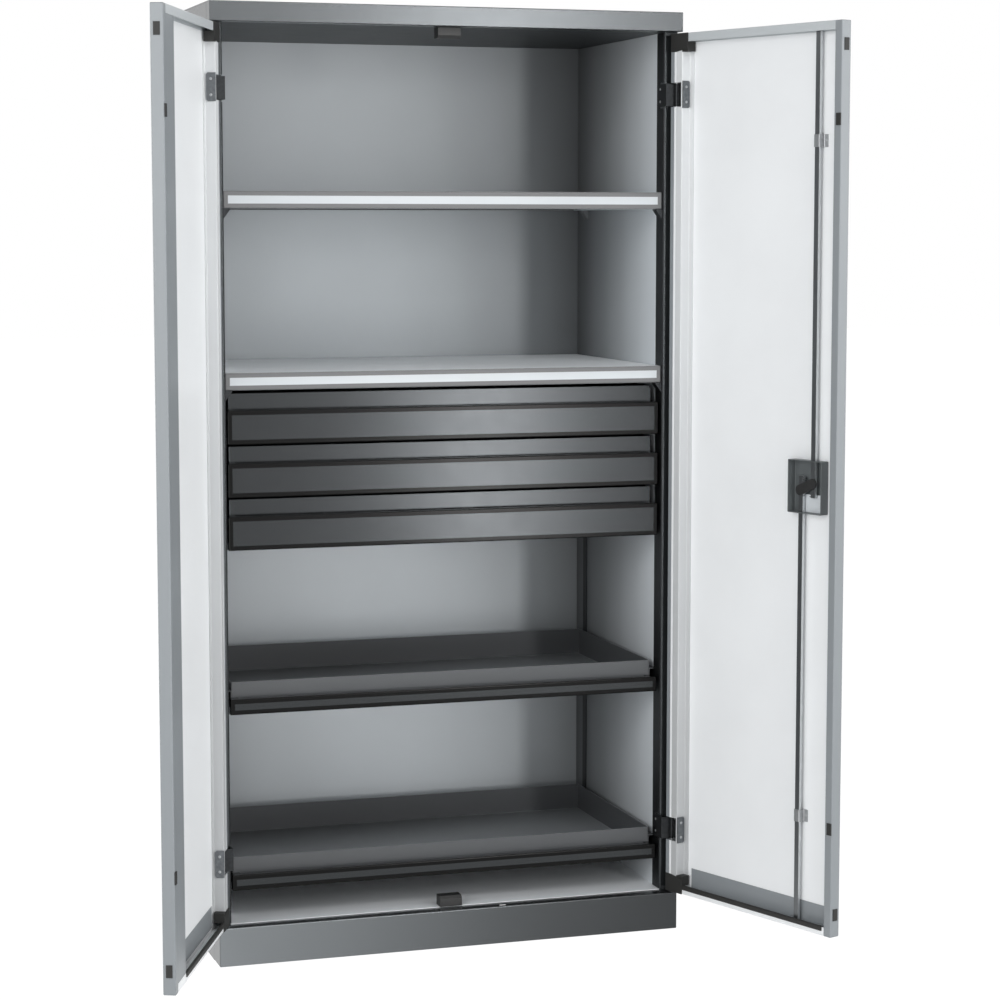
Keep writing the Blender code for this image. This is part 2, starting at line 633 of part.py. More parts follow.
def build_hinge(label, side, middle, pivot, mats):
    """Leaf on the post with an eye, and a bracket inside the door with a pin through the eye."""
    leaf_x = OPENING_X - FIT - PIVOT_X
    arm = [(leaf_x - LEAF_T, LEAF_REACH - PIVOT_Y), (leaf_x - LEAF_T, -LEAF_T / 2), (0, -LEAF_T / 2), (0, LEAF_T / 2),
           (leaf_x, LEAF_T / 2), (leaf_x, LEAF_REACH - PIVOT_Y)]
    eye = [(KNUCKLE_R * math.cos(math.pi * i / 12), KNUCKLE_R * math.sin(math.pi * i / 12)) for i in range(24)]
    at = (side * PIVOT_X, PIVOT_Y, middle)
    low, high = middle - LEAF_H / 2, middle + LEAF_H / 2
    bm = bmesh.new()
    add_prism(bm, shifted(arm, side, PIVOT_X, PIVOT_Y), "Z", low, high)
    leaf = add_piece(label + "_hinge_leaf", bm, mats["hinge"])
    bm = bmesh.new()
    add_prism(bm, shifted(eye, side, PIVOT_X, PIVOT_Y), "Z", low, high)
    combine(leaf, add_cutter(label + "_hinge_eye", bm), "UNION")
    bore = PIN_R + PIN_CLEAR
    bm = bmesh.new()
    add_turned(bm, [(0, -LEAF_H), (bore, -LEAF_H), (bore, LEAF_H), (0, LEAF_H)], "Z", at)
    combine(leaf, add_cutter(label + "_hinge_bore", bm), "DIFFERENCE")

    root = SKIN_Y - PIVOT_Y
    half = LEAF_H / 2 + LUG_GAP + LUG_H
    plate = [(-BRACKET_W, root), (KNUCKLE_R, root), (KNUCKLE_R, root + BRACKET_T), (-BRACKET_W, root + BRACKET_T)]
    bm = bmesh.new()
    add_prism(bm, shifted(plate, side, PIVOT_X, PIVOT_Y), "Z", middle - half, middle + half)
    bracket = add_piece(label + "_hinge_bracket", bm, mats["zinc"], pivot)
    bm = bmesh.new()
    for start in (middle - half, high + LUG_GAP):
        add_prism(bm, shifted(knuckle_outline(root), side, PIVOT_X, PIVOT_Y), "Z", start, start + LUG_H)
    combine(bracket, add_cutter(label + "_hinge_lugs", bm, pivot), "UNION")
    shank = half + PIN_HEAD_T
    bm = bmesh.new()
    add_turned(bm, [(0, -shank), (PIN_R, -shank), (PIN_R, half), (PIN_HEAD_R, half), (PIN_HEAD_R, shank), (0, shank)],
               "Z", at)
    combine(bracket, add_cutter(label + "_hinge_pin", bm, pivot), "UNION")

    low_y, high_y = SKIN_Y + SHEET + HINGE_PLATE_EDGE, LIP_Y
    tip = HINGE_PLATE_EDGE
    bottom, top = middle - HINGE_PLATE_H / 2, middle + HINGE_PLATE_H / 2
    outline = [(low_y, bottom + tip), (low_y + tip, bottom), (high_y, bottom), (high_y, top), (low_y + tip, top),
               (low_y, top - tip)]
    bm = bmesh.new()
    add_prism(bm, outline, "X", *span(side, STILE_X - FIT - HINGE_PLATE_T, STILE_X - FIT))
    add_piece(label + "_hinge_plate", bm, mats["hinge"], pivot)


def build_hinges(label, side, pivot, mats):
    for place, middle in zip(("lower", "upper"), HINGE_HEIGHTS):
        build_hinge(f"{label}_{place}", side, middle, pivot, mats)


def build_lock_case(pivot, mats):
    half_w, half_h = LOCK_CASE_W / 2, LOCK_CASE_H / 2
    case = add_pan("lock_case", (LOCK_X - half_w, SKIN_Y, LOCK_Z - half_h),
                   (LOCK_X + half_w, SKIN_Y + LOCK_CASE_D, LOCK_Z + half_h), (0, 1, 0), 0, mats["hinge"], pivot)
    slot = 2 * SHEET
    cut_boxes(case, [rod_hole(-1, LOCK_Z + half_h - slot, LOCK_Z + half_h + slot),
                     rod_hole(1, LOCK_Z - half_h - slot, LOCK_Z - half_h + slot)], pivot)
    combine(case, add_spindle_bore("lock_case_bore", pivot), "DIFFERENCE")


def add_spindle_bore(name, pivot):
    bm = bmesh.new()
    radius = SPINDLE * math.sqrt(0.5) + FIT
    reach = 3 * SHEET
    profile = [(0, FRONT_Y - reach), (radius, FRONT_Y - reach), (radius, SKIN_Y + reach), (0, SKIN_Y + reach)]
    add_turned(bm, profile, "Y", (LOCK_X, 0, LOCK_Z))
    return add_cutter(name, bm, pivot)


def gear_outline():
    """Pinion teeth as trapezoids, with a gap at 0 and at 180 degrees."""
    pitch = 2 * math.pi / GEAR_TEETH
    outline = []
    for tooth in range(GEAR_TEETH):
        middle = pitch * (tooth + 0.5)
        for radius, share in ((GEAR_R - ROOT_DEPTH, -0.62), (GEAR_R + GEAR_MODULE * 0.9, -0.16),
                              (GEAR_R + GEAR_MODULE * 0.9, 0.16), (GEAR_R - ROOT_DEPTH, 0.62)):
            angle = middle + share * pitch * TOOTH_SHARE
            outline.append((radius * math.cos(angle), radius * math.sin(angle)))
    return outline


def rack_outline(direction, far_z):
    """Rod with a rack on the edge at x = 0 towards +x, from the lock to its far end; direction is +1 for up."""
    pitch = math.pi * GEAR_MODULE
    half_root = 0.62 * TOOTH_SHARE * pitch
    half_tip = 0.22 * TOOTH_SHARE * pitch
    depth = ROOT_DEPTH + 0.9 * GEAR_MODULE
    near = -(RACK_TEETH / 2) * pitch
    outline = [(-ROD_W, near), (0, near)]
    for tooth in range(RACK_TEETH):
        middle = near + pitch * (tooth + 0.5)
        outline += [(0, middle - half_root), (depth, middle - half_tip), (depth, middle + half_tip),
                    (0, middle + half_root)]
    outline += [(0, far_z - ROD_TIP), (-ROD_TIP, far_z), (-ROD_W + ROD_TIP, far_z), (-ROD_W, far_z - ROD_TIP)]
    return [(x, direction * z) for x, z in outline]


def build_rods(pivot, mats):
    reaches = {-1: DOOR_Z1 - ROD_END_CLEAR - LOCK_Z, 1: LOCK_Z - DOOR_Z0 - ROD_END_CLEAR}
    for name, side in (("upper_rod", -1), ("lower_rod", 1)):
        up = -side
        slide = add_pivot(name + "_slide", (rod_x(side), ROD_Y, LOCK_Z), pivot)
        edge = LOCK_X + side * (GEAR_R + ROOT_DEPTH)
        outline = [(edge - side * x, LOCK_Z + z) for x, z in rack_outline(up, reaches[side])]
        bm = bmesh.new()
        add_prism(bm, outline, "Y", ROD_Y - ROD_T / 2, ROD_Y + ROD_T / 2)
        add_piece(name, bm, mats["zinc"], slide)
        inner = ROD_W / 2 + FIT + SHEET
        roof = ROD_Y + ROD_T / 2 + FIT + SHEET
        foot = SKIN_Y + SHEET
        path = [(inner + GUIDE_FLANGE, foot), (inner, foot), (inner, roof), (-inner, roof), (-inner, foot),
                (-inner - GUIDE_FLANGE, foot)]
        hat = [(x + rod_x(side), y) for x, y in sheet_section(path, SHEET)]
        middle = LOCK_Z + up * (reaches[side] - GUIDE_FROM_END)
        bm = bmesh.new()
        add_prism(bm, hat, "Z", middle - GUIDE_H / 2, middle + GUIDE_H / 2)
        add_piece(name + "_guide", bm, mats["hinge"], pivot)


def build_handle(pivot, mats):
    """Pinion with its square spindle, the rose on the outside of the door and the turn handle."""
    axis = add_pivot("lock_axis", (LOCK_X, ROD_Y, LOCK_Z), pivot)
    bm = bmesh.new()
    outline = [(LOCK_X + x, LOCK_Z + z) for x, z in gear_outline()]
    add_prism(bm, outline, "Y", ROD_Y - GEAR_T / 2, ROD_Y + GEAR_T / 2)
    pinion = add_piece("lock_pinion", bm, mats["plastic"], axis)
    half = SPINDLE / 2
    tip_y = FRONT_Y - ROSE_T - HUB_L / 2
    bm = bmesh.new()
    add_box(bm, (LOCK_X - half, tip_y, LOCK_Z - half), (LOCK_X + half, ROD_Y, LOCK_Z + half))
    combine(pinion, add_cutter("lock_spindle", bm, axis), "UNION")

    face = FRONT_Y - FIT
    rose_profile = [(0, face), (ROSE_R, face), (ROSE_R, face - 0.6 * ROSE_T), (ROSE_R - 0.4 * ROSE_T, face - ROSE_T),
                    (0, face - ROSE_T)]
    bm = bmesh.new()
    add_turned(bm, rose_profile, "Y", (LOCK_X, 0, LOCK_Z))
    rose = smooth(add_piece("handle_rose", bm, mats["plastic"], pivot))
    bm = bmesh.new()
    bore = HUB_R + FIT
    add_turned(bm, [(0, FRONT_Y - 2 * ROSE_T), (bore, FRONT_Y - 2 * ROSE_T), (bore, FRONT_Y + ROSE_T),
                    (0, FRONT_Y + ROSE_T)], "Y", (LOCK_X, 0, LOCK_Z))
    combine(rose, add_cutter("rose_bore", bm, pivot), "DIFFERENCE")

    near, far = face - FIT, face - HUB_L
    bm = bmesh.new()
    add_turned(bm, [(0, near), (HUB_R, near), (HUB_R, far + 0.002), (HUB_R - 0.002, far), (0, far)], "Y",
               (LOCK_X, 0, LOCK_Z))
    handle = smooth(add_piece("turn_handle", bm, mats["plastic"], axis))
    bm = bmesh.new()
    lever = [(0, -LEVER_W / 2), (LEVER_L - LEVER_W / 2, -LEVER_W / 2)]
    for i in range(1, 8):
        angle = math.pi * (i / 8 - 0.5)
        lever.append((LEVER_L - LEVER_W / 2 + LEVER_W / 2 * math.cos(angle), LEVER_W / 2 * math.sin(angle)))
    lever += [(LEVER_L - LEVER_W / 2, LEVER_W / 2), (0, LEVER_W / 2)]
    add_prism(bm, [(LOCK_X + x, LOCK_Z + z) for x, z in lever], "Y", far + 0.002, far + 0.002 + LEVER_T)
    combine(handle, add_cutter("handle_lever", bm, axis), "UNION")
    socket = half + FIT
    bm = bmesh.new()
    add_box(bm, (LOCK_X - socket, tip_y - FIT, LOCK_Z - socket), (LOCK_X + socket, FRONT_Y + ROSE_T, LOCK_Z + socket))
    combine(handle, add_cutter("handle_socket", bm, axis), "DIFFERENCE")


def build_left_door(mats):
    pivot = add_pivot("left_door_hinge", (-PIVOT_X, PIVOT_Y, DOOR_Z0))
    build_door_shell("left_door", -1, pivot, mats)
    build_edge_stile("left_door", -1, pivot, mats)
    build_door_rubber("left_door", -1, pivot, FREE_X + EDGE_STILE_W, mats)
    build_hinges("left", -1, pivot, mats)
    pivot.rotation_euler.z = -math.radians(LEFT_OPEN_DEG)


def build_right_door(mats):
    pivot = add_pivot("right_door_hinge", (PIVOT_X, PIVOT_Y, DOOR_Z0))
    panel = build_door_shell("right_door", 1, pivot, mats)
    reach = 2 * SHEET
    cut_boxes(panel, [rod_hole(-1, DOOR_Z1 - reach, DOOR_Z1 + reach), rod_hole(1, DOOR_Z0 - reach, DOOR_Z0 + reach)],
              pivot)
    combine(panel, add_spindle_bore("right_door_bore", pivot), "DIFFERENCE")
    build_door_rubber("right_door", 1, pivot, FREE_X + DOOR_LIP, mats)
    build_hinges("right", 1, pivot, mats)
    build_lock_case(pivot, mats)
    build_rods(pivot, mats)
    build_handle(pivot, mats)
    pivot.rotation_euler.z = math.radians(RIGHT_OPEN_DEG)


def main():
    clear_scene()
    mats = make_materials()
    build_plinth(mats)
    build_plate("floor_panel", PLINTH_H + FIT, mats["inside"])
    build_plate("ceiling_panel", CEILING_Z, mats["inside"])
    build_side_panel("left_side_panel", -1, mats["inside"])
    build_side_panel("right_side_panel", 1, mats["inside"])
    build_back_panel(mats["inside"])
    build_top_panel(mats["carcass"])
    build_side_liner("left_side_liner", -1, mats["inside"])
    build_side_liner("right_side_liner", 1, mats["inside"])
    build_shelves(mats)
    build_door_stops(mats["plastic"])
    build_runner_frame("left_runner_frame", -1, mats["hinge"])
    build_runner_frame("right_runner_frame", 1, mats["hinge"])
    for number, bottom in enumerate(DRAWER_BOTTOMS, start=1):
        build_pull_out(f"drawer_{number}", bottom, DRAWER_FRONT_H, DRAWER_H, mats)
    for number, bottom in enumerate(TRAY_BOTTOMS, start=1):
        build_pull_out(f"tray_{number}", bottom, TRAY_FRONT_H, TRAY_H, mats)
    build_left_door(mats)
    build_right_door(mats)


main()
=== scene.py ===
"""Looks of the double-door workshop cabinet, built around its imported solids.

Metres, +Z up, the doors face -Y. Small trim for a door is placed as if the door were shut and then turned
with the door to its rest angle, which comes from the frame's own hinge joint.
"""
import json
import math

import bmesh
import bpy
from mathutils import Matrix, Vector


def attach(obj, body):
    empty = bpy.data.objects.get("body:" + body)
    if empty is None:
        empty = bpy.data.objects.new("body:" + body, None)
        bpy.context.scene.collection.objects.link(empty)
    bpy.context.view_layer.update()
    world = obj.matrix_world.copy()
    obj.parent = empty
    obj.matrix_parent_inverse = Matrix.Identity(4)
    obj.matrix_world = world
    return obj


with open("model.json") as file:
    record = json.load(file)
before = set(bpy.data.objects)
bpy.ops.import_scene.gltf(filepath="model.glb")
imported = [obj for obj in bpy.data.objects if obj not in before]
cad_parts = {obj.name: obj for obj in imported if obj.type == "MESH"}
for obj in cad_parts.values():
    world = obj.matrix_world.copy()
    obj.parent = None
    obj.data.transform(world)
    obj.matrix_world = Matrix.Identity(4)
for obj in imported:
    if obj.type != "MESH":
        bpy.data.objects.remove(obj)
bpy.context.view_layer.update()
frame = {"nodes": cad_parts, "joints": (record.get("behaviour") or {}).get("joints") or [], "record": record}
NODES = frame["nodes"]
JOINTS = {joint["name"]: joint for joint in frame["joints"]}

# Directions of the cabinet, and how closely a face has to look along one
RIGHT, LEFT = (1.0, 0.0, 0.0), (-1.0, 0.0, 0.0)
BACKWARD, FORWARD = (0.0, 1.0, 0.0), (0.0, -1.0, 0.0)
UP, DOWN = (0.0, 0.0, 1.0), (0.0, 0.0, -1.0)
FACING = 0.5

# Camera of the photograph, fitted to the cabinet's corners
CAMERA_AT = (-1.5313, -5.1624, 1.5083)
CAMERA_YAW_DEG = -17.63
CAMERA_PITCH_DEG = -6.00
CAMERA_LENS_MM = 93.95
SENSOR_MM = 36.0
LEVEL_DEG = 90.0

# Lamps: place, aim, width and height, watts
LAMPS = {
    "left_box": ((-3.6, -3.4, 2.4), (0.5, -0.2, 1.0), (2.4, 3.0), 107.0),
    "right_box": ((4.2, -3.0, 2.4), (-0.5, -0.2, 1.0), (2.4, 3.0), 103.0),
    "strip": ((1.70, -5.2, 1.3), (0.0, 0.2, 1.0), (0.36, 3.0), 52.0),
    "low_fill": ((-1.3, -4.4, 0.45), (0.0, 0.4, 0.35), (1.6, 0.7), 17.0),
    "top_front": ((0.4, -3.4, 3.5), (0.0, 0.25, 0.8), (2.6, 1.2), 22.0),
}
WHITE = (1.0, 1.0, 1.0, 1.0)
AMBIENT_COLOUR = (0.80, 0.82, 0.84, 1.0)
AMBIENT_LEVEL = 0.36
STAGE_REACH = 30.0
STAGE_COLOUR = (0.86, 0.86, 0.86, 1.0)
STAGE_ROUGHNESS = 0.9
STAGE_GLOW = 1.16
STAGE_GLOW_SHARE = 0.85

# Trim that is too small for the solids
PROUD = 0.0001
SKIN_T = 0.0015
SCREW_R = 0.0030
SCREW_T = 0.0012
SCREW_CROWN = 0.72
SCREW_STEPS = 16
LEAF_SCREW_Y = 0.010
LEAF_SCREW_SHARES = (0.22, 0.78)
GUIDE_SCREW_X = 0.0045
PAD_W, PAD_H, PAD_T = 0.012, 0.024, 0.0022
PAD_HEIGHTS = (0.306, 1.715)
PLUG_W, PLUG_H, PLUG_T = 0.012, 0.024, 0.0014
PLUG_FROM_END = 0.046
# Painted shade: a thin grey strip at the foot of each door's inner skin
FOOT_SHADE_H, FOOT_SHADE_BELOW, FOOT_SHADE_T, FOOT_SHADE_END = 0.034, 0.010, 0.0008, 0.004
CAM_L, CAM_W, CAM_T = 0.060, 0.021, 0.0025
CAM_TILT = math.radians(22.0)
CAM_STEPS = 8
KEEPER_HALF_W, KEEPER_H, KEEPER_T = 0.032, 0.036, 0.003

# Widths of the bands of painted shade
EDGE_BAND = 0.0185
HINGE_BAND = 0.0120
RIM = 0.0095
WIDE_FRONT = 0.5

# Paint colours, with painted shade and painted light among them, and how deep the paint is along a node as
# painted shade: (place from 0 to 1, share)
CARCASS_PAINT = (0.112, 0.119, 0.124)
# Painted shade: the roof's downward faces are darker, as the shade under the fascia
ROOF_UNDER_SHADE = (0.030, 0.034, 0.037)
# Painted shade: the side panels' front faces, the posts, are darker as if in shade
POST_FRONT_SHADE = (0.055, 0.060, 0.063)
# Painted light and shade: the plinth rail is light at its left end and darkens towards the right
PLINTH_PAINT = (0.215, 0.230, 0.240)
PLINTH_SHADE_ACROSS = ((0.0, 1.0), (0.5, 0.50), (1.0, 0.20))
INSIDE_PAINT = (0.45, 0.48, 0.505)
# Painted shade: the ceiling is darker than the other inner walls, and darker still on its downward faces
CEILING_SHADE_PAINT = (0.20, 0.215, 0.23)
CEILING_UNDER_SHADE = (0.035, 0.040, 0.043)
# Painted light: the floor panel is near white, to lighten it where the trays shade it
FLOOR_LIT_PAINT = (0.90, 0.925, 0.945)
# Painted light and shade: the back's paint is lightest a little left of the middle, darkens towards both
# ends and most towards the right-hand corner, and darkens towards the top; its outer face keeps a plain grey
BACK_PAINT = (0.72, 0.763, 0.794)
BACK_OUTER = (0.115, 0.123, 0.129)
BACK_SHADE_SLANT = (0.84, 0.0, 0.16)
BACK_SHADE_ACROSS = (
    (0.0, 0.45), (0.15, 0.75), (0.30, 0.92), (0.44, 1.0), (0.58, 0.92),
    (0.69, 0.74), (0.80, 0.54), (0.88, 0.38), (1.0, 0.20),
)
BACK_SHADE_UP = ((0.0, 1.0), (0.38, 0.92), (0.62, 0.66), (1.0, 0.70))
# Painted light and shade: the inner side walls are light at the front and darken towards the back corners
LINER_PAINT = (0.82, 0.86, 0.89)
LINER_SHADE_BACKWARD = ((0.0, 1.0), (0.2, 0.82), (0.4, 0.60), (0.6, 0.40), (0.8, 0.25), (1.0, 0.12))
DOOR_PAINT = (0.93, 0.945, 0.955)
# Grey of the door's outer face, also used as painted shade on the top lip
DOOR_FRONT_AND_LIP_SHADE = (0.52, 0.55, 0.565)
# Painted shade on the door's upright lips, the left door's edge stile and the strip at a door's foot
DOOR_EDGE_SHADE = (0.26, 0.28, 0.295)
# Painted shade: the hinge stiles' paint darkens towards the bottom
STILE_PAINT = (0.72, 0.735, 0.745)
STILE_SHADE_UP = ((0.0, 0.68), (0.5, 0.84), (1.0, 1.0))
SHELF_PAINT = (0.64, 0.673, 0.696)
# Painted light: the shelves' upper faces are lighter, as if lit from above
SHELF_TOP_LIGHT = (0.94, 0.955, 0.965)
# Painted shade: a dark rim round each shelf front, for the shade in the gaps
SHELF_RIM_SHADE = (0.16, 0.162, 0.165)
DRAWER_PAINT = (0.042, 0.045, 0.047)
# Painted shade: a black rim round each drawer and tray front, for the shade in the gaps
DRAWER_RIM_SHADE = (0.010, 0.010, 0.010)
TRAY_PAINT = (0.082, 0.086, 0.091)
# Painted light: the tray floors are lighter towards the front and the right
TRAY_PAINTED_LIGHT = (0.42, 0.443, 0.461)
TRAY_SLANT = (0.40, -0.50, 0.0)
TRAY_LEVEL = 0.58
LOCK_CASE_PAINT = (0.125, 0.138, 0.142)

# Bare metal, rubber and plastic
ZINC = (0.42, 0.43, 0.44)
ROD_ZINC = (0.62, 0.64, 0.65)
# Painted shade on the rods' broad inner face
ROD_FACE_SHADE = (0.150, 0.158, 0.163)
DARK_STEEL = (0.030, 0.032, 0.034)
PLATE_STEEL = (0.16, 0.17, 0.18)
RUBBER = (0.012, 0.012, 0.011)
PLASTIC = (0.016, 0.016, 0.016)
ALONG_ROD = (8.0, 8.0, 0.4)
ALL_WAYS = (1.0, 1.0, 1.0)

# Roughness, shares of metal, and height of the orange peel
DRAWER_GLOSS = 0.19
GLOSSY = 0.25
ZINC_GLOSS = 0.34
SATIN = 0.40
SEMI_MATT = 0.42
MATT = 0.45
DRAWER_FLOOR_MATT = 0.55
ROOF_MATT = 0.75
RUBBER_MATT = 0.62
SHEET_METAL = 0.8
DRAWER_METAL = 0.9
WALL_METAL = 0.3
INSIDE_METAL = 0.4
CEILING_METAL = 0.5
TRAY_METAL = 0.2
PLATED_METAL = 0.9
PEEL, FINE_PEEL, LEVELLED_PEEL = 0.012, 0.004, 0.0008

# Scales of the noise in the finishes, and what it changes
CLOUD_SCALE, GLOSS_SCALE, PEEL_SCALE, STREAK_SCALE = 5.0, 28.0, 700.0, 160.0
RUBBER_GRAIN, PLASTIC_GRAIN = 500.0, 900.0
CLOUD_DETAIL, GRAIN_DETAIL, STREAK_DETAIL = 3.0, 2.0, 4.0
RUBBER_RELIEF, PLASTIC_RELIEF, STREAK_RELIEF = 0.12, 0.08, 0.08
CLOUD_SPREAD = 0.02
GLOSS_SPREAD = 0.02
STREAK_SPREAD = 0.08
STREAK_TONES = (0.82, 1.12)
GRAIN_TONES = (0.85, 1.2)
SOFT_RAMP = (0.3, 0.7)
RAMP_MIDDLE = 0.5
STREAK_RAMP = (0.35, 0.65)
GRAIN_DEPTH, STREAK_DEPTH = 0.0003, 0.0002
FOLD_EDGE, STEEL_EDGE, MOULD_EDGE = 0.0012, 0.0005, 0.0008
EDGE_SAMPLES = 4


def new_material(name):
    material = bpy.data.materials.new(name)
    material.use_nodes = True
    return material, material.node_tree.nodes, material.node_tree.links


def shaded(colour, factor):
    return tuple(min(1.0, channel * factor) for channel in colour)


def tint_by(nodes, links, noise, colour, ends, tones):
    """Colour that noise varies between two tones of it."""
    ramp = nodes.new("ShaderNodeValToRGB")
    for element, place, tone in zip(ramp.color_ramp.elements, ends, tones):
        element.position = place
        element.color = (*shaded(colour, tone), 1.0)
    links.new(noise.outputs["Fac"], ramp.inputs["Fac"])
    links.new(ramp.outputs["Color"], nodes["Principled BSDF"].inputs["Base Color"])


def gloss_by(nodes, links, noise, roughness, spread):
    """Roughness that noise varies by a little."""
    gloss = nodes.new("ShaderNodeMapRange")
    gloss.inputs["To Min"].default_value = roughness - spread
    gloss.inputs["To Max"].default_value = roughness + spread
    links.new(noise.outputs["Fac"], gloss.inputs["Value"])
    links.new(gloss.outputs["Result"], nodes["Principled BSDF"].inputs["Roughness"])


def noise_at(nodes, links, scale, detail=CLOUD_DETAIL, stretch=ALL_WAYS):
    """Noise in the object's own metres."""
    place = nodes.new("ShaderNodeTexCoord")
    mapping = nodes.new("ShaderNodeMapping")
    mapping.inputs["Scale"].default_value = stretch
    noise = nodes.new("ShaderNodeTexNoise")
    noise.inputs["Scale"].default_value = scale
    noise.inputs["Detail"].default_value = detail
    links.new(place.outputs["Object"], mapping.inputs["Vector"])
    links.new(mapping.outputs["Vector"], noise.inputs["Vector"])
    return noise


def relief_by(nodes, links, noise, strength, distance, edge):
    """Surface grain on top of an edge that is rounded like a folded sheet."""
    bevel = nodes.new("ShaderNodeBevel")
    bevel.samples = EDGE_SAMPLES
    bevel.inputs["Radius"].default_value = edge
    bump = nodes.new("ShaderNodeBump")
    bump.inputs["Strength"].default_value = strength
    bump.inputs["Distance"].default_value = distance
    links.new(noise.outputs["Fac"], bump.inputs["Height"])
    links.new(bevel.outputs["Normal"], bump.inputs["Normal"])
    links.new(bump.outputs["Normal"], nodes["Principled BSDF"].inputs["Normal"])


def powder_coat(name, colour, roughness, metallic=0.0, peel=PEEL):
    """Baked powder paint: fine orange peel, faint clouding and a slightly uneven gloss."""
    material, nodes, links = new_material(name)
    clouding = (1.0 - CLOUD_SPREAD, 1.0 + CLOUD_SPREAD)
    tint_by(nodes, links, noise_at(nodes, links, CLOUD_SCALE), colour, SOFT_RAMP, clouding)
    gloss_by(nodes, links, noise_at(nodes, links, GLOSS_SCALE), roughness, GLOSS_SPREAD)
    peel_noise = noise_at(nodes, links, PEEL_SCALE, detail=GRAIN_DETAIL)
    relief_by(nodes, links, peel_noise, peel, GRAIN_DEPTH, FOLD_EDGE)
    nodes["Principled BSDF"].inputs["Metallic"].default_value = metallic
    return material


def carcass_coat(name, colour):
    """Glossy metallic paint of the outer sheets."""
    return powder_coat(name, colour, GLOSSY, SHEET_METAL, LEVELLED_PEEL)


def drawer_coat(name):
    """Dark metallic paint of the drawers."""
    return powder_coat(name, DRAWER_PAINT, DRAWER_GLOSS, DRAWER_METAL, FINE_PEEL)


def plated_steel(name, colour, roughness, stretch):
    """Zinc plate or blackened steel with drawn streaks along the rod or rail."""
    material, nodes, links = new_material(name)
    streak = noise_at(nodes, links, STREAK_SCALE, detail=STREAK_DETAIL, stretch=stretch)
    tint_by(nodes, links, streak, colour, STREAK_RAMP, STREAK_TONES)
    gloss_by(nodes, links, streak, roughness, STREAK_SPREAD)
    relief_by(nodes, links, streak, STREAK_RELIEF, STREAK_DEPTH, STEEL_EDGE)
    nodes["Principled BSDF"].inputs["Metallic"].default_value = PLATED_METAL
    return material


def moulded(name, colour, roughness, grain, relief):
    """Rubber or plastic with a fine moulded grain."""
    material, nodes, links = new_material(name)
    texture = noise_at(nodes, links, grain, detail=GRAIN_DETAIL)
    tint_by(nodes, links, texture, colour, SOFT_RAMP, GRAIN_TONES)
    nodes["Principled BSDF"].inputs["Roughness"].default_value = roughness
    relief_by(nodes, links, texture, relief, GRAIN_DEPTH, MOULD_EDGE)
    return material


MATERIALS = {
    "carcass_grey": carcass_coat("carcass_paint", CARCASS_PAINT),
    "inside_grey": powder_coat("inside_paint", INSIDE_PAINT, MATT, INSIDE_METAL),
    "door_light_grey": powder_coat("door_paint", DOOR_PAINT, SATIN),
    "shelf_light_grey": powder_coat("shelf_paint", SHELF_PAINT, SEMI_MATT),
    "drawer_anthracite": drawer_coat("drawer_paint"),
    "zinc_steel": plated_steel("zinc", ZINC, ZINC_GLOSS, ALONG_ROD),
    "dark_steel": plated_steel("dark_steel", DARK_STEEL, SEMI_MATT, ALL_WAYS),
    "black_rubber": moulded("rubber", RUBBER, RUBBER_MATT, RUBBER_GRAIN, RUBBER_RELIEF),
    "black_plastic": moulded("plastic", PLASTIC, SEMI_MATT, PLASTIC_GRAIN, PLASTIC_RELIEF),
}


def maths(material, operation, first, second):
    """Value node on two sockets or numbers."""
    node = material.node_tree.nodes.new("ShaderNodeMath")
    node.operation = operation
    for socket, value in zip(node.inputs, (first, second)):
        if isinstance(value, (int, float)):
            socket.default_value = value
        else:
            material.node_tree.links.new(value, socket)
    return node.outputs["Value"]


def along(material, output, direction):
    """Length of a texture coordinate along a direction."""
    nodes, links = material.node_tree.nodes, material.node_tree.links
    place = nodes.new("ShaderNodeTexCoord")
    dot = nodes.new("ShaderNodeVectorMath")
    dot.operation = "DOT_PRODUCT"
    dot.inputs[1].default_value = direction
    links.new(place.outputs[output], dot.inputs[0])
    return dot.outputs["Value"]


def facing(material, direction):
    """Mask of the faces that look along a direction."""
    return maths(material, "GREATER_THAN", along(material, "Normal", direction), FACING)


def second_tone(material, mask, colour):
    """Paint the masked faces in another colour."""
    nodes, links = material.node_tree.nodes, material.node_tree.links
    base = nodes["Principled BSDF"].inputs["Base Color"]
    mix = nodes.new("ShaderNodeMix")
    mix.data_type = "RGBA"
    first, second = (socket for socket in mix.inputs if socket.name in ("A", "B") and socket.type == "RGBA")
    second.default_value = (*colour, 1.0)
    result = next(socket for socket in mix.outputs if socket.type == "RGBA")
    links.new(base.links[0].from_socket, first)
    links.new(mask, mix.inputs["Factor"])
    links.new(result, base)
    return material


def toned_faces(material, direction, colour):
    """Paint the faces that look along a direction in another colour."""
    return second_tone(material, facing(material, direction), colour)


def rimmed(material, node, colour):
    """Painted shade: a darker rim round the front face of a node, for the shade in the gaps round it."""
    size = NODES[node].dimensions
    mask = None
    for axis, direction in ((0, RIGHT), (2, UP)):
        place = along(material, "Generated", direction)
        from_end = maths(material, "MINIMUM", place, maths(material, "SUBTRACT", 1.0, place))
        close = maths(material, "LESS_THAN", from_end, RIM / size[axis])
        mask = maths(material, "MAXIMUM", mask, close) if mask else close
    return second_tone(material, maths(material, "MULTIPLY", mask, facing(material, FORWARD)), colour)


